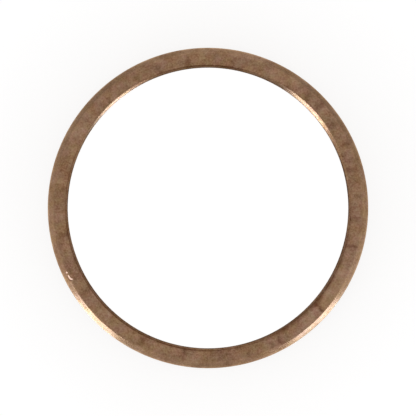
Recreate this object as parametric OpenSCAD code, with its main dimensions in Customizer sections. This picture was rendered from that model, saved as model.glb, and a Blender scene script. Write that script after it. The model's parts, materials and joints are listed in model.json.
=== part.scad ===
// Wrist pin bushing: one plain solid bronze sleeve, pressed into the small end of a connecting rod.
// It stands on one end. The origin is at the centre of the bore on the lower end, +Z runs along the bore.

/* [Bore] */
// Diameter of the bore that the wrist pin turns in
bore_d = 44.45; // [20:0.05:90]
// Radial leg of the bevel round each mouth of the bore
mouth_bevel = 0.45; // [0.2:0.05:1]
// Angle between the mouth bevel and the axis, in degrees
mouth_angle = 45; // [30:1:60]

/* [Wall] */
// Thickness of the wall, from the bore to the outside that the rod eye grips
wall = 3.175; // [3:0.005:12]
// Distance from end to end
length = 38.1; // [15:0.1:120]

/* [Lead-in] */
// Radial leg of the chamfer round the outside of each end, which leads the bushing into the rod eye
lead_chamfer = 0.75; // [0.3:0.05:1.5]
// Angle between the lead-in chamfer and the axis, in degrees
lead_angle = 45; // [30:1:60]

/* [Hidden] */
$fn = 240;

bore_r = bore_d / 2;
outer_r = bore_r + wall;
mouth_depth = mouth_bevel / tan(mouth_angle);
lead_length = lead_chamfer / tan(lead_angle);

// Half section of the sleeve, with x as the radius and y along the bore
module wall_section() {
    polygon([
        [bore_r, mouth_depth],
        [bore_r + mouth_bevel, 0],
        [outer_r - lead_chamfer, 0],
        [outer_r, lead_length],
        [outer_r, length - lead_length],
        [outer_r - lead_chamfer, length],
        [bore_r + mouth_bevel, length],
        [bore_r, length - mouth_depth]
    ]);
}

// The sleeve, turned and bored from solid bar
module bushing() {
    color([0.52, 0.40, 0.31])
        rotate_extrude()
            wall_section();
}

bushing();
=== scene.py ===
import json
import math

import bpy
import numpy as np
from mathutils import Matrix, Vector


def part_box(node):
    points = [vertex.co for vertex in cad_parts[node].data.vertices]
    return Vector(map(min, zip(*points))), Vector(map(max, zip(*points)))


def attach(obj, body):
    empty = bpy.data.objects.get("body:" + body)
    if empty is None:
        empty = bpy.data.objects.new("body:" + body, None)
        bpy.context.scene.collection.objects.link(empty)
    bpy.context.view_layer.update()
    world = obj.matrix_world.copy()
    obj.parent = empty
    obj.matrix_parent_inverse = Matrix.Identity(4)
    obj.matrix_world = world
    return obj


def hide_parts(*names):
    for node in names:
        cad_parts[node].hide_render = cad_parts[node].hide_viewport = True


# The finish of a plain bronze wrist pin bushing that stands on its end. All lengths are in metres. Angles in
# the tables of marks are in degrees, clockwise from the right of the photograph.

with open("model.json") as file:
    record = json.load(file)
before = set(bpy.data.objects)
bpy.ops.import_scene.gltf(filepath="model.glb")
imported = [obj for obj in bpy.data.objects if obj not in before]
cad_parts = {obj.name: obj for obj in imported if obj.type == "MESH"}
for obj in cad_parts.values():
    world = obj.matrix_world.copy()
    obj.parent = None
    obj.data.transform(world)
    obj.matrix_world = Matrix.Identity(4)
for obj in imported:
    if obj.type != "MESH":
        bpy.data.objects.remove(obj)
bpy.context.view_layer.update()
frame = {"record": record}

# Sizes of the bushing, read from the frame
MM = 0.001
mounts = {mount["name"]: mount["dims"] for mount in frame["record"]["mounts"]}
lowest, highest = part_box("bushing")
LENGTH = highest.z - lowest.z
BORE_R = mounts["pin_bore"]["r_mm"] * MM
OUTER_R = mounts["rod_eye_seat"]["r_mm"] * MM
MOUTH = (LENGTH - mounts["pin_bore"]["length_mm"] * MM) / 2
LEAD = (LENGTH - mounts["rod_eye_seat"]["length_mm"] * MM) / 2

# How far the corners are broken and how much the bevels bulge. The corner between the upper face and its
# chamfer is the softest, and that chamfer is a little wider to make up for it
EDGE_BREAK = 0.07 * MM
RIM_BREAK = 0.32 * MM
CORNER_STEPS = 3
LEAD_CROWN = 0.010 * MM
MOUTH_CROWN = 0.008 * MM
UPPER_LEAD = 1.07 * LEAD
RIM = OUTER_R - UPPER_LEAD

# Upper mouth bevel: its leg as a share of the nominal one, its depth as a share of its leg, and where hand
# work made the leg longer or shorter, by angle, half width, change
MOUTH_SHARE = 0.84
MOUTH_SLOPE = 0.93
MOUTH_SWELL = [(38, 24, 0.24), (175, 30, -0.05), (227, 14, 0.06), (303, 9, 0.42), (319, 12, 0.58),
               (334, 9, 0.25)]

# Steps of the mesh round the axis, and the finer ones within so many degrees of the nick
TURNS = 960
NICK_TURNS = 64
NICK_WINDOW = 2.6

# Zones of the section, and where their points lie between two corners, as shares of the way
WALL, BEVEL, FACE, MOUTH_BEVEL, BORE = range(5)
SIDE_SHARES = [0.006, 0.25, 0.5, 0.75, 0.994]
UPPER_BEVEL_SHARES = [0.07, 0.2, 0.35, 0.5, 0.65, 0.77, 0.84, 0.9, 0.95]
UPPER_FACE_SHARES = [*np.linspace(0.03, 0.24, 8), *np.linspace(0.31, 0.73, 7), *np.linspace(0.76, 0.97, 8)]
PLAIN_SHARES = [0.06, 0.35, 0.65, 0.94]

# How far down from the upper face its nick and marks may reach
UPPER_DEPTH = 1.5 * LEAD

# The nick at the outer edge of the upper end: a dot and a crooked stroke, in millimetres from the axis, with
# half the width at each place. Bare metal fills most of it, and a painted shadow lies beside the stroke
NICK_DOT = [(-22.40, -10.24, 0.18), (-22.37, -10.28, 0.17)]
NICK_STROKE = [(-22.15, -10.72, 0.12), (-22.04, -10.93, 0.17), (-21.91, -11.12, 0.17),
               (-21.75, -11.25, 0.21), (-21.60, -11.29, 0.18), (-21.50, -11.31, 0.12)]
NICK_DEPTH = 0.09 * MM
NICK_BARE = 1.7
NICK_SHADOW_SHIFT = (-0.10, -0.20)

# Dark streaks across the upper end. Reach is a share of the wall from the bore outward:
# angle at the bore, angle at the rim, reach from, to, half width, darkness
STREAKS = [
    (4.5, 3.8, 0.10, 0.60, 1.1, 0.6), (15.3, 14.4, 0.10, 0.72, 0.7, 0.8),
    (31.5, 31.5, 0.08, 0.25, 3.0, 0.3), (41.6, 42.0, 0.12, 0.75, 0.6, 1.1),
    (40.0, 41.0, 0.08, 0.36, 2.6, 0.5), (57.5, 58.5, 0.08, 0.25, 2.5, 0.35),
    (61.8, 61.4, 0.30, 0.75, 0.7, 0.9), (65.6, 64.6, 0.35, 0.72, 0.9, 0.7),
    (74.4, 74.2, 0.20, 0.80, 1.1, 0.4), (85.0, 86.0, 0.15, 0.70, 1.4, 0.35),
    (88.0, 88.6, 0.15, 0.75, 0.9, 0.4), (99.3, 99.2, 0.12, 0.72, 1.0, 0.65),
    (116.3, 116.8, 0.15, 0.68, 0.9, 0.5), (115.5, 116.0, 0.20, 0.40, 1.8, 0.3),
    (130.3, 130.4, 0.30, 0.60, 0.7, 0.4), (137.9, 137.7, 0.15, 0.70, 0.5, 0.6),
    (145.4, 145.7, 0.20, 0.75, 0.8, 0.4), (152.6, 152.4, 0.20, 0.60, 0.8, 0.3),
    (169.6, 168.8, 0.12, 0.60, 1.0, 0.6), (178.3, 178.5, 0.20, 0.70, 1.0, 0.25),
    (187.3, 189.6, 0.12, 0.40, 0.8, 0.55), (207.2, 206.8, 0.20, 0.60, 0.8, 0.4),
    (215.5, 215.8, 0.30, 0.75, 0.7, 0.25), (224.0, 223.0, 0.15, 0.50, 1.6, 0.5),
    (227.6, 227.1, 0.12, 0.50, 0.7, 0.75), (250.8, 249.8, 0.12, 0.60, 1.4, 0.55),
    (262.3, 261.8, 0.15, 0.70, 0.8, 0.55), (279.4, 281.0, 0.12, 0.60, 1.2, 0.65),
    (303.3, 303.0, 0.12, 0.50, 1.2, 0.5), (311.5, 311.5, 0.30, 0.70, 1.0, 0.5),
    (317.5, 317.8, 0.30, 0.80, 0.9, 0.65), (326.0, 326.4, 0.20, 0.60, 1.3, 0.55),
    (335.2, 335.0, 0.30, 0.75, 0.8, 0.75), (345.0, 345.6, 0.15, 0.75, 1.2, 0.65),
    (355.6, 355.4, 0.30, 0.75, 0.7, 0.55),
]
STREAK_DARK = 0.77
STREAK_FADE_IN = 0.10
STREAK_FADE_OUT = 0.16
STREAK_WANDER = 0.25
STREAK_WAVES = 17

# Darkness along the bore's edge, by angle, half width, amount: a thin line, where the table changes an even
# darkness, and a broad band beside it
EDGE_LINE_HALF = 0.11 * MM
EDGE_LINE_DARK = 0.50
EDGE_LINE_DARKEST = 1.2
EDGE_LINE = [(31, 10, 0.10), (50, 12, -0.55), (103, 12, 0.60), (131, 18, 0.80), (166, 12, 0.50),
             (195, 9, 0.35), (229, 15, -0.60), (266, 15, 0.70), (278, 6, 0.40), (315, 20, -0.60),
             (345, 12, -0.45)]
EDGE_BAND_HALF = 0.65 * MM
EDGE_BAND = [(50, 22, 0.95), (14, 14, 0.15), (100, 16, 0.25)]

# Thin dark lines of painted shade, by angle, half width, amount: beside the bright stretches of the mouth
# bevel, and all along the inner edge of the lead-in chamfer, where the table changes an even darkness
MOUTH_SHADE_LINE = [(219, 5, 0.45), (238, 7, 0.50), (312, 12, 0.60)]
RIM_SHADE_HALF = 0.15 * MM
RIM_SHADE_DARK = 0.22
RIM_SHADE_LINE = [(46, 16, 0.05), (135, 14, 0.03), (150, 8, -0.25), (22, 12, -0.12)]

# Where the upper end is lighter or darker than the rest, by angle, half width, change: wide stretches of all
# of it, uneven tone with a painted sheen toward the right softbox; and painted highlight and shade on its
# lead-in chamfer alone and its mouth bevel alone, which shape the lamps' highlights there
STRETCHES = [(36, 14, 0.20), (52, 9, 0.09), (9, 9, 0.03), (67, 6, 0.10), (75, 12, -0.07), (135, 12, 0.03),
             (160, 12, -0.04), (186, 8, -0.10), (208, 9, 0.05), (217, 5, 0.10), (250, 12, -0.04),
             (276, 7, -0.10), (306, 6, 0.14), (312, 22, -0.03), (345, 16, -0.06)]
CHAMFER_PAINTED_LIGHT = [(52, 7, -0.27), (64, 10, 0.32), (79, 7, 0.18), (110, 9, 0.20), (127, 5, -0.08),
                (145, 5, -0.16), (152, 7, 0.26), (226, 17, -0.14), (258, 6, -0.17), (316, 17, -0.09)]
MOUTH_PAINTED_LIGHT = [(216, 7, -0.42), (231, 12, 0.30), (241, 6, 0.65), (302, 6, -0.20), (319, 14, 0.48),
              (326, 4, 0.35)]

# Painted highlight on the upper mouth bevel: a tint toward bare metal that makes its bright stretch paler,
# by angle, half width, amount
MOUTH_GLINT = [(229, 13, 0.07)]

# Corners that handling has rubbed lighter, by the zones that meet there, and a painted highlight on
# the strip of the upper chamfer beside the outermost one
RUBBED_CORNERS = {(WALL, BEVEL): 1.0, (BEVEL, FACE): 0.15}
RIM_GLINT = 0.75
RIM_GLINT_HALF = 0.16 * MM


def away(degrees, middle):
    """Angle from the middle, from -180 to 180."""
    return (degrees - middle + 180) % 360 - 180


def hump(off, half):
    """Soft hump of height 1."""
    return np.exp(-((off / half) ** 2))


def smooth(share):
    """Soft step from 0 to 1."""
    share = np.clip(share, 0, 1)
    return share * share * (3 - 2 * share)


def bumps(degrees, table):
    """Sum of soft humps round the ring."""
    return sum(change * hump(away(degrees, middle), half) for middle, half, change in table)


def turning_angles():
    """Angles of the sections, close together round the nick."""
    x, y, _ = NICK_STROKE[1]
    middle = math.atan2(y, x) % (2 * math.pi)
    window = math.radians(NICK_WINDOW)
    fine = np.linspace(middle - window, middle + window, NICK_TURNS, endpoint=False)
    coarse = np.linspace(middle + window, middle - window + 2 * math.pi, TURNS, endpoint=False)
    return np.concatenate([fine, coarse])


def straight(start, end, shares, zone, crown):
    """Points between two corners, the corners left out, with an outward bulge in the middle."""
    start, end = np.array(start), np.array(end)
    along = end - start
    outward = np.array([along[1], -along[0]]) / np.linalg.norm(along)
    return [(start + t * along + 4 * crown * t * (1 - t) * outward, zone) for t in shares]


def broken_corner(before, corner, after, radius):
    """Points of the small arc that takes the place of a sharp corner."""
    before, corner, after = (np.array(p) for p in (before, corner, after))
    into = (corner - before) / np.linalg.norm(corner - before)
    out = (after - corner) / np.linalg.norm(after - corner)
    turn = math.acos(float(np.clip(into @ out, -1, 1)))
    setback = radius * math.tan(turn / 2)
    inward = np.array([-into[1], into[0]])
    centre = corner - setback * into + radius * inward
    points = []
    for k in range(CORNER_STEPS + 1):
        a = turn * k / CORNER_STEPS
        points.append(centre - radius * (math.cos(a) * inward - math.sin(a) * into))
    return points


def section(mouth):
    """The sleeve's section as points, radius and height, and their zones, for a leg of the upper mouth bevel.

    Each row has a corner and how far it is broken, then the zone that follows it, its points and its bulge.
    """
    corners = [
        ((OUTER_R, LEAD), EDGE_BREAK, WALL, SIDE_SHARES, 0),
        ((OUTER_R, LENGTH - UPPER_LEAD), EDGE_BREAK, BEVEL, UPPER_BEVEL_SHARES, LEAD_CROWN),
        ((RIM, LENGTH), RIM_BREAK, FACE, UPPER_FACE_SHARES, 0),
        ((BORE_R + mouth, LENGTH), EDGE_BREAK, MOUTH_BEVEL, PLAIN_SHARES, MOUTH_CROWN),
        ((BORE_R, LENGTH - MOUTH_SLOPE * mouth), EDGE_BREAK, BORE, SIDE_SHARES, 0),
        ((BORE_R, MOUTH), EDGE_BREAK, MOUTH_BEVEL, PLAIN_SHARES, MOUTH_CROWN),
        ((BORE_R + MOUTH, 0), EDGE_BREAK, FACE, PLAIN_SHARES, 0),
        ((OUTER_R - LEAD, 0), EDGE_BREAK, BEVEL, PLAIN_SHARES, LEAD_CROWN),
    ]
    points = []
    for k, (corner, radius, zone, shares, crown) in enumerate(corners):
        before, zone_before = corners[k - 1][0], corners[k - 1][2]
        after, radius_after = corners[(k + 1) % len(corners)][:2]
        arc = broken_corner(before, corner, after, radius)
        points += [(p, (zone_before, zone)) for p in arc]
        following = broken_corner(corner, after, corners[(k + 2) % len(corners)][0], radius_after)[0]
        points += straight(arc[-1], following, shares, (zone, zone), crown)
    return np.array([p for p, _ in points]), [z for _, z in points]


def carried_round(leg):
    """Radius and height of every point, its zones, and its way along the section, from the leg at each angle.

    The points move evenly with the leg, so all sections are blends of a slim and a wide one.
    """
    slim_leg, wide_leg = 0.5 * MOUTH, 1.5 * MOUTH
    slim, zones = section(slim_leg)
    wide, _ = section(wide_leg)
    share = (leg - slim_leg) / (wide_leg - slim_leg)
    r = slim[:, 0] * (1 - share) + wide[:, 0] * share
    z = slim[:, 1] * (1 - share) + wide[:, 1] * share
    steps = np.linalg.norm(np.diff(slim, axis=0), axis=1)
    return r, z, zones, np.concatenate([[0], np.cumsum(steps)])


def groove(line, x, y, shift=(0.0, 0.0)):
    """How deep in the groove each point lies, 0 to 1, for a line of places with half widths."""
    depth = np.zeros(x.shape)
    places = [((px + shift[0]) * MM, (py + shift[1]) * MM, half * MM) for px, py, half in line]
    for (ax, ay, a_half), (bx, by, b_half) in zip(places, places[1:]):
        dx, dy = bx - ax, by - ay
        t = np.clip(((x - ax) * dx + (y - ay) * dy) / (dx * dx + dy * dy), 0, 1)
        off = np.hypot(x - ax - t * dx, y - ay - t * dy)
        depth = np.maximum(depth, smooth(1 - off / (a_half + t * (b_half - a_half))))
    return depth


def streaks(degrees, reach):
    """How dark the streaks make each point of the upper end."""
    total = np.zeros(reach.shape)
    for at_bore, at_rim, start, end, half, darkness in STREAKS:
        wander = STREAK_WANDER * np.sin(STREAK_WAVES * reach + at_bore)
        middle = at_bore + (at_rim - at_bore) * reach + wander
        begun = smooth((reach - start) / STREAK_FADE_IN + 0.5)
        lasting = smooth((end - reach) / STREAK_FADE_OUT + 0.5)
        total += darkness * begun * lasting * hump(away(degrees, middle), half)
    return total


def dark_marks(degrees, r, from_edge):
    """How dark the streaks, the bore edge's line and band and the painted shade lines make each point on top.
    """
    line = np.clip(EDGE_LINE_DARK + bumps(degrees, EDGE_LINE), 0, EDGE_LINE_DARKEST)
    # Painted shade beside the bright stretches of the mouth bevel
    beside_shade = hump(from_edge - EDGE_LINE_HALF, EDGE_LINE_HALF) * bumps(degrees, MOUTH_SHADE_LINE)
    # Painted shade along the inner edge of the lead-in chamfer
    rim_shade = hump(r - RIM, RIM_SHADE_HALF) * (RIM_SHADE_DARK + bumps(degrees, RIM_SHADE_LINE))
    band = smooth(1 - np.abs(from_edge) / EDGE_BAND_HALF) * bumps(degrees, EDGE_BAND)
    across = streaks(degrees, (r - BORE_R) / (OUTER_R - BORE_R))
    return hump(from_edge, EDGE_LINE_HALF) * line + STREAK_DARK * (across + band + beside_shade + rim_shade)


def zone_share(zones, *wanted):
    """How much of each section point belongs to the wanted zones, half where two zones meet."""
    return np.array([sum(pair.count(zone) for zone in wanted) / 2 for pair in zones])


def closed_ring(name, points):
    """Mesh of sections that follow each other round the axis, the last joined to the first."""
    turns, around, _ = points.shape
    here = np.arange(turns * around).reshape(turns, around)
    ahead = np.roll(here, -1, axis=0)
    faces = np.stack([here, ahead, np.roll(ahead, -1, axis=1), np.roll(here, -1, axis=1)], axis=-1)
    mesh = bpy.data.meshes.new(name)
    mesh.from_pydata(points.reshape(-1, 3).tolist(), [], faces.reshape(-1, 4).tolist())
    mesh.polygons.foreach_set("use_smooth", [True] * len(mesh.polygons))
    mesh.update()
    return mesh


def store(mesh, name, values):
    """Keeps one number a point for the material."""
    attribute = mesh.attributes.new(name, "FLOAT", "POINT")
    attribute.data.foreach_set("value", np.ascontiguousarray(values, dtype=np.float32).ravel())


def sleeve_mesh():
    """The turned sleeve: the section carried round the axis, with its uneven mouth bevel and the nick."""
    angles = turning_angles()[:, None]
    degrees = -np.degrees(angles)
    leg = MOUTH * (MOUTH_SHARE + bumps(degrees, MOUTH_SWELL))
    r, z, zones, along = carried_round(leg)
    x, y = r * np.cos(angles), r * np.sin(angles)

    upper = z > LENGTH - UPPER_DEPTH
    dent = upper * np.maximum(groove(NICK_STROKE, x, y), groove(NICK_DOT, x, y))
    # The nick's painted shadow: a dark line beside its stroke
    shadow = upper * (1 - dent) * groove(NICK_STROKE, x, y, NICK_SHADOW_SHIFT)
    mesh = closed_ring("bronze_sleeve", np.stack([x, y, z - NICK_DEPTH * dent], axis=-1))

    chamfer, mouth = zone_share(zones, BEVEL), zone_share(zones, MOUTH_BEVEL)
    sides = zone_share(zones, WALL, BORE)
    on_top = upper * (sides == 0)
    corners = np.array([RUBBED_CORNERS.get(tuple(sorted(pair)), 0.0) for pair in zones])
    # Painted highlight and shade on the lead-in chamfer and the mouth bevel
    bevel_painted_light = chamfer * bumps(degrees, CHAMFER_PAINTED_LIGHT) + mouth * bumps(degrees, MOUTH_PAINTED_LIGHT)
    marks = {
        "bevel": chamfer + mouth,
        "sides": sides,
        "along": along,
        # Rubbed corners, and a painted highlight on the strip of the upper chamfer by the outer rim
        "edge": np.maximum(corners, RIM_GLINT * on_top * hump(OUTER_R - r, RIM_GLINT_HALF)),
        # Bare metal in the nick, and a painted highlight that makes the mouth bevel's bright stretch paler
        "bare_and_glint": np.clip(NICK_BARE * dent, 0, 1) + on_top * mouth * bumps(degrees, MOUTH_GLINT),
        # Dark streaks and darkness at the bore's edge, with painted shade lines and the nick's painted shadow
        "streaks_and_shade": on_top * dark_marks(degrees, r, r - (BORE_R + leg)) + shadow,
        # Uneven tone, with a painted sheen toward the right softbox
        "tone_and_sheen": on_top * bumps(degrees, STRETCHES),
        "bevel_painted_light": on_top * bevel_painted_light,
    }
    for name, values in marks.items():
        store(mesh, name, np.broadcast_to(values, x.shape))
    return mesh


class Graph:
    """Shader nodes of a material or a world, added one by one with their inputs."""

    def __init__(self, holder):
        holder.use_nodes = True
        self.tree = holder.node_tree
        self.tree.nodes.clear()

    def feed(self, socket, value):
        """Links the socket to another node's, or gives it a plain value."""
        if isinstance(value, bpy.types.NodeSocket):
            self.tree.links.new(value, socket)
        else:
            socket.default_value = value

    def add(self, kind, inputs=None, **settings):
        made = self.tree.nodes.new("ShaderNode" + kind)
        for key, value in settings.items():
            setattr(made, key, value)
        for key, value in (inputs or {}).items():
            self.feed(made.inputs[key], value)
        return made

    def output(self, kind, surface):
        self.add("Output" + kind, {"Surface": surface.outputs[0]}).is_active_output = True

    def mark(self, name):
        """What the mesh keeps for each point under that name."""
        return self.add("Attribute", attribute_name=name).outputs["Fac"]

    def math(self, operation, a, b=0.0, clamp=False):
        return self.add("Math", {0: a, 1: b}, operation=operation, use_clamp=clamp).outputs[0]

    def total(self, first, *others):
        for other in others:
            first = self.math("ADD", first, other)
        return first

    def product(self, first, *others):
        for other in others:
            first = self.math("MULTIPLY", first, other)
        return first

    def vector(self, operation, a, b=(0.0, 0.0, 0.0), result="Vector"):
        return self.add("VectorMath", {0: a, 1: b}, operation=operation).outputs[result]

    def outward(self, place):
        """The way from the axis to the place."""
        return self.vector("MULTIPLY", place, (1.0, 1.0, 0.0))

    def noise(self, place, scale, detail, roughness):
        inputs = {"Vector": place, "Scale": scale, "Detail": detail, "Roughness": roughness}
        return self.add("TexNoise", inputs).outputs["Fac"]

    def stretched(self, spoke, along, round_count, pitch, detail):
        """Noise with round_count features a radian round the axis, and one each pitch across."""
        lift = self.add("CombineXYZ", {"Z": self.math("DIVIDE", along, pitch)}).outputs[0]
        at = self.vector("ADD", self.vector("MULTIPLY", spoke, (round_count,) * 3), lift)
        return self.noise(at, 1.0, detail, 0.5)

    def swing(self, value, amount=1.0):
        """Noise round 0.5 turned into a change round 0."""
        return self.product(self.math("SUBTRACT", value, 0.5), 2.0 * amount)

    def spread(self, value, low, high, to_low, to_high):
        """value from low..high mapped to to_low..to_high."""
        inputs = {"Value": value, "From Min": low, "From Max": high, "To Min": to_low, "To Max": to_high}
        return self.add("MapRange", inputs).outputs["Result"]

    def between(self, share, values):
        """The first value where share is 0, the second where it is 1."""
        return self.spread(share, 0.0, 1.0, *values)

    def blend(self, share, a, b, mode="MIX"):
        made = self.add("Mix", data_type="RGBA", blend_type=mode)
        for number, value in ((0, share), (6, a), (7, b)):
            self.feed(made.inputs[number], value)
        return made.outputs[2]

    def times(self, colour, channels):
        """colour with red, green and blue each made lighter or darker."""
        by = self.add("CombineColor", dict(enumerate(channels))).outputs[0]
        return self.blend(1.0, colour, by, "MULTIPLY")


def rgb(red, green, blue):
    return (red, green, blue, 1.0)


# Colours of the bronze, as linear light
BROWN = rgb(0.242, 0.1385, 0.0835)
REDDISH = rgb(1.045, 0.985, 1.00)
OLIVE = rgb(0.955, 1.02, 0.95)
DULL = rgb(1.0, 1.0, 1.09)
WARM = rgb(1.0, 1.0, 0.90)
GOLDEN = rgb(0.330, 0.197, 0.110)
# Rubbed corners, and the painted highlight by the outer rim
RUBBED_AND_GLINT = rgb(0.520, 0.335, 0.200)
# Tint of the dark streaks and of the painted shade
STREAK_AND_SHADE_TINT = rgb(0.44, 0.32, 0.26)
# Bare metal, and the painted highlight on the mouth bevel
BARE_AND_GLINT = rgb(0.93, 0.66, 0.53)
WHITE = rgb(1, 1, 1)

# Light places of the oxide are paler and dark ones warmer, so red changes least and blue most
CHANNEL_POWERS = (0.95, 1.18, 1.45)

# Noises: features a metre, detail, roughness
SPECKLE = (3600, 3, 0.70)
MOTTLE = (620, 3, 0.6)
PATCH = (200, 4, 0.55)
HUE = (900, 3, 0.6)
CAST = (480, 3, 0.6)
STREAK_BREAKUP = (1500, 2, 0.6)
POLISH = (2600, 3, 0.7)
RELIEF = (5200, 3, 0.6)

# Marks of the cutting tool, and scratches along the axis: features a radian round the axis, pitch, detail
FINE_TURNING = (2.2, 0.09 * MM, 2.0)
BROAD_TURNING = (1.3, 0.32 * MM, 2.0)
SCRATCHES = (170.0, 9.0 * MM, 3.0)

# How much lighter or darker each makes the oxide
SPECKLE_CHANGE = 0.84
MOTTLE_CHANGE = 0.51
PATCH_CHANGE = 0.14
FINE_CHANGE = 0.20
BROAD_CHANGE = 0.16

# What a noise is turned into: from a low value, to a high one, and what these give
SCRATCH_RANGE = (0.66, 0.74, 0.0, 0.5)
STREAK_BREAKUP_RANGE = (0.32, 0.52, 0.65, 1.0)
HUE_RANGE = (0.36, 0.64, 0.0, 1.0)
CAST_RANGE = (0.38, 0.62, 0.0, 1.0)
WORN_RANGE = (0.36, 0.64, 0.42, 0.64)
RUBBED_AND_GLINT_RANGE = (0.38, 0.60, 0.35, 0.80)

# Strengths on the flat ends and on the walls
LINES_BY_SIDE = (0.5, 1.3)
OXIDE_BY_SIDE = (1.0, 0.5)
POLISH_BY_SIDE = (0.28, 0.12)
TILT_BY_SIDE = (0.15, 1.0)

# Strengths off the bevels and on them, and how olive the bevels are at least
GRAIN_BY_BEVEL = (1.0, 0.85)
POLISH_BY_BEVEL = (1.0, 0.3)
RELIEF_BY_BEVEL = (1.0, 0.35)
OLIVE_BY_BEVEL = (0.0, 0.6)

# Strength of the grain at the bore and at the outside
GRAIN_BY_RADIUS = (1.1, 0.8)

# Roughness of the metal, and how the bevels and the grime with its painted shade change it
ROUGHNESS = 0.38
BEVEL_CHANGE = -0.12
GRIME_AND_SHADE_CHANGE = 0.08

# How far the tool marks tilt the surface, and the depth of the fine relief
FINE_TILT = 0.70
BROAD_TILT = 0.20
RELIEF_DEPTH = 0.004 * MM


def bronze():
    """Aged bearing bronze: brown oxide with a fine mottle, tool marks, streaks and a little bare metal.

    Painted shade goes with the streaks, painted highlights with the bare metal and the rubbed corners.
    """
    material = bpy.data.materials.new("aged_bronze")
    g = Graph(material)
    place = g.add("TexCoord").outputs["Object"]
    spoke = g.vector("NORMALIZE", g.outward(place))
    names = ("bevel", "sides", "edge", "along", "bare_and_glint", "streaks_and_shade", "tone_and_sheen", "bevel_painted_light")
    marks = {name: g.mark(name) for name in names}
    turning = [g.stretched(spoke, marks["along"], *kind) for kind in (FINE_TURNING, BROAD_TURNING)]
    scratch = g.spread(g.stretched(spoke, marks["along"], *SCRATCHES), *SCRATCH_RANGE)
    # Streaks and edge darkness, with painted shade lines and the nick's painted shadow, broken up by noise
    grime_and_shade = g.math("MULTIPLY", marks["streaks_and_shade"], g.spread(g.noise(place, *STREAK_BREAKUP), *STREAK_BREAKUP_RANGE), clamp=True)

    colour = bronze_colour(g, place, marks, turning, scratch)
    colour = g.blend(grime_and_shade, colour, g.blend(1.0, colour, STREAK_AND_SHADE_TINT, "MULTIPLY"))
    # Bare metal in the nick, and a painted highlight on the mouth bevel
    colour = g.blend(marks["bare_and_glint"], colour, BARE_AND_GLINT)
    shader = g.add("BsdfPrincipled", {
        "Base Color": colour,
        "Metallic": 1.0,
        "Roughness": bronze_roughness(g, place, marks, grime_and_shade),
        "Normal": bronze_normal(g, place, spoke, marks, turning),
    })
    g.output("Material", shader)
    return material


def bronze_colour(g, place, marks, turning, scratch):
    """Brown oxide of uneven tone and hue, worn golden on the walls and rubbed lighter at the corners.

    On the upper end it also carries a painted sheen, painted highlight and shade on the bevels, and a painted
    highlight on the strip of the chamfer by the outer rim.
    """
    sides, bevel = marks["sides"], marks["bevel"]
    speckle, mottle, patch = (g.noise(place, *kind) for kind in (SPECKLE, MOTTLE, PATCH))
    oxide = g.total(g.swing(speckle, SPECKLE_CHANGE), g.swing(mottle, MOTTLE_CHANGE),
                    g.swing(patch, PATCH_CHANGE))
    fine, broad = turning
    lines = g.total(g.swing(broad, BROAD_CHANGE), g.swing(fine, FINE_CHANGE))
    grain = g.total(g.product(oxide, g.between(sides, OXIDE_BY_SIDE)),
                    g.product(lines, g.between(sides, LINES_BY_SIDE)))
    from_axis = g.vector("LENGTH", g.outward(place), result="Value")
    grain = g.product(grain, g.between(bevel, GRAIN_BY_BEVEL),
                      g.spread(from_axis, BORE_R, OUTER_R, *GRAIN_BY_RADIUS))

    hue = g.spread(g.noise(place, *HUE), *HUE_RANGE)
    hue = g.math("MAXIMUM", hue, g.between(bevel, OLIVE_BY_BEVEL))
    colour = g.blend(1.0, BROWN, g.blend(hue, REDDISH, OLIVE), "MULTIPLY")
    cast = g.spread(g.noise(place, *CAST), *CAST_RANGE)
    colour = g.blend(1.0, colour, g.blend(cast, DULL, WARM), "MULTIPLY")

    worn = g.math("MAXIMUM", g.spread(patch, *WORN_RANGE), scratch)
    colour = g.blend(g.product(sides, worn), colour, GOLDEN)
    # Rubbed corners, and a painted highlight by the outer rim
    rubbed_and_glint = g.product(marks["edge"], g.spread(mottle, *RUBBED_AND_GLINT_RANGE))
    colour = g.blend(rubbed_and_glint, colour, RUBBED_AND_GLINT)

    # Grain and uneven tone, with a painted sheen toward the right softbox
    light = g.total(1.0, grain, marks["tone_and_sheen"])
    colour = g.times(colour, [g.math("POWER", light, power) for power in CHANNEL_POWERS])
    # Painted highlight and shade on the bevels
    return g.times(colour, [g.total(1.0, marks["bevel_painted_light"])] * 3)


def bronze_roughness(g, place, marks, grime_and_shade):
    """Polished crests among rough oxide, smoother on the bevels and rougher in the grime and painted shade.
    """
    sides, bevel = marks["sides"], marks["bevel"]
    uneven = g.product(g.swing(g.noise(place, *POLISH)), g.between(sides, POLISH_BY_SIDE),
                       g.between(bevel, POLISH_BY_BEVEL))
    return g.total(ROUGHNESS, uneven, g.product(bevel, BEVEL_CHANGE), g.product(grime_and_shade, GRIME_AND_SHADE_CHANGE))


def bronze_normal(g, place, spoke, marks, turning):
    """Normals that tilt across the tool marks, with a fine relief everywhere."""
    normal = g.add("NewGeometry").outputs["Normal"]
    round_axis = g.vector("CROSS_PRODUCT", (0.0, 0.0, 1.0), spoke)
    across = g.vector("CROSS_PRODUCT", round_axis, normal)
    fine, broad = turning
    tilt = g.total(g.swing(fine, FINE_TILT), g.swing(broad, BROAD_TILT))
    tilt = g.product(tilt, g.between(marks["sides"], TILT_BY_SIDE))
    leaning = g.vector("MULTIPLY", across, g.add("CombineXYZ", {0: tilt, 1: tilt, 2: tilt}).outputs[0])
    turned = g.vector("NORMALIZE", g.vector("ADD", normal, leaning))
    relief = g.math("SUBTRACT", g.noise(place, *RELIEF), 0.5)
    height = g.product(relief, g.between(marks["bevel"], RELIEF_BY_BEVEL))
    bump = g.add("Bump", {"Strength": 1.0, "Distance": RELIEF_DEPTH, "Height": height, "Normal": turned})
    return bump.outputs["Normal"]


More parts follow.
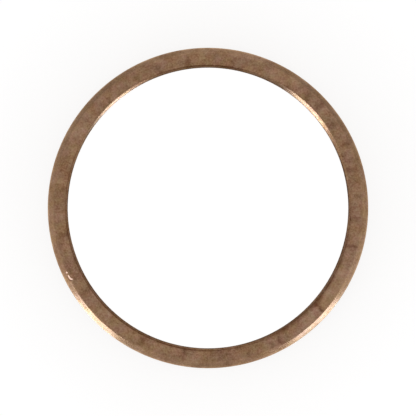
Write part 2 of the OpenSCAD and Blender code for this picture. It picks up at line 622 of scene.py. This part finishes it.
def make_bushing():
    piece = bpy.data.objects.new("bronze_sleeve", sleeve_mesh())
    bpy.context.scene.collection.objects.link(piece)
    piece.modifiers.new("even_shading", "WEIGHTED_NORMAL")
    piece.data.materials.append(bronze())
    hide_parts("bushing")
    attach(piece, "root")


# Floor: white to the eye and in the metal, with a soft part that takes the object's shadow. Under the hole,
# where the sleeve keeps the light out, it glows more, so that the hole is white as in the photograph
FLOOR_HALF = 6.0
FLOOR_GLOW = 0.76
HOLE_GLOW = 0.95
FLOOR_SHADE = 0.27


def floor_material():
    material = bpy.data.materials.new("white_table")
    g = Graph(material)
    from_axis = g.vector("LENGTH", g.add("TexCoord").outputs["Object"], result="Value")
    glow = g.spread(from_axis, BORE_R, OUTER_R, HOLE_GLOW, FLOOR_GLOW)
    seen = g.add("LightPath").outputs
    shown = g.math("ADD", seen["Is Camera Ray"], seen["Is Glossy Ray"], clamp=True)
    shown = g.math("ADD", shown, seen["Is Transmission Ray"], clamp=True)
    white = g.add("Emission", {"Color": WHITE, "Strength": g.product(shown, glow)})
    shaded = g.add("BsdfDiffuse", {"Color": rgb(FLOOR_SHADE, FLOOR_SHADE, FLOOR_SHADE)})
    g.output("Material", g.add("AddShader", {0: white.outputs[0], 1: shaded.outputs[0]}))
    return material


def make_floor():
    h = FLOOR_HALF
    mesh = bpy.data.meshes.new("table_top")
    mesh.from_pydata([(-h, -h, 0), (h, -h, 0), (h, h, 0), (-h, h, 0)], [], [(0, 1, 2, 3)])
    floor = bpy.data.objects.new("table_top", mesh)
    bpy.context.scene.collection.objects.link(floor)
    floor.data.materials.append(floor_material())


# The surround: white overhead and below the horizon, a little dimmer just above the horizon. SIN_WHITE is the
# sine of the elevation where it is white again
HORIZON = 0.82
SIN_WHITE = 0.6


def make_world():
    world = bpy.data.worlds.new("surround")
    bpy.context.scene.world = world
    g = Graph(world)
    rise = g.add("SeparateXYZ", {0: g.add("TexCoord").outputs["Generated"]}).outputs["Z"]
    above = g.spread(rise, 0.0, SIN_WHITE, HORIZON, 1.0)
    level = g.math("MAXIMUM", above, g.math("LESS_THAN", rise, 0.0))
    g.output("World", g.add("Background", {"Color": WHITE, "Strength": level}))


# Softboxes and dim side panels round the table: degrees anticlockwise from +X, brightness where white is 1,
# colour, width, height, lift of the middle
LAMP_FAR = 0.60
COOL = (0.84, 1.0, 1.21)
NEUTRAL = (1.0, 1.0, 1.0)
LAMPS = {
    "right_softbox": (-46.5, 8.7, COOL, 0.205, 0.11, 0.065),
    "left_softbox": (-135.5, 10.4, COOL, 0.205, 0.11, 0.065),
    "right_panel": (-12, 0.40, NEUTRAL, 0.50, 0.40, 0.21),
    "left_panel": (-168, 0.40, NEUTRAL, 0.50, 0.40, 0.21),
    "back_panel": (90, 0.30, NEUTRAL, 0.50, 0.40, 0.21),
}


def make_lights():
    for name, (degrees, brightness, colour, wide, tall, lift) in LAMPS.items():
        lamp = bpy.data.lights.new(name, "AREA")
        lamp.shape = "RECTANGLE"
        lamp.color = colour
        lamp.size, lamp.size_y = wide, tall
        lamp.energy = brightness * math.pi * wide * tall
        holder = bpy.data.objects.new(name, lamp)
        a = math.radians(degrees)
        holder.location = (LAMP_FAR * math.cos(a), LAMP_FAR * math.sin(a), lift)
        toward = Vector((0, 0, LENGTH)) - holder.location
        holder.rotation_euler = toward.to_track_quat("-Z", "Y").to_euler()
        holder.visible_camera = False
        bpy.context.scene.collection.objects.link(holder)


# Framing of the photograph: its width and the ring's outer diameter there, in pixels, and how far above the
# upper end the camera stands
PHOTO_WIDTH = 416
RING_WIDTH = 320.5
CAMERA_RISE = 0.4


def make_camera():
    """Straight above the upper end, without perspective, because the photograph shows nothing of the bore."""
    lens = bpy.data.cameras.new("camera")
    lens.type = "ORTHO"
    lens.ortho_scale = 2 * OUTER_R * PHOTO_WIDTH / RING_WIDTH
    camera = bpy.data.objects.new("camera", lens)
    camera.location = (0, 0, LENGTH + CAMERA_RISE)
    bpy.context.scene.collection.objects.link(camera)
    bpy.context.scene.camera = camera


make_camera()
make_world()
make_lights()
make_floor()
make_bushing()
bpy.context.scene.view_settings.view_transform = "Standard"
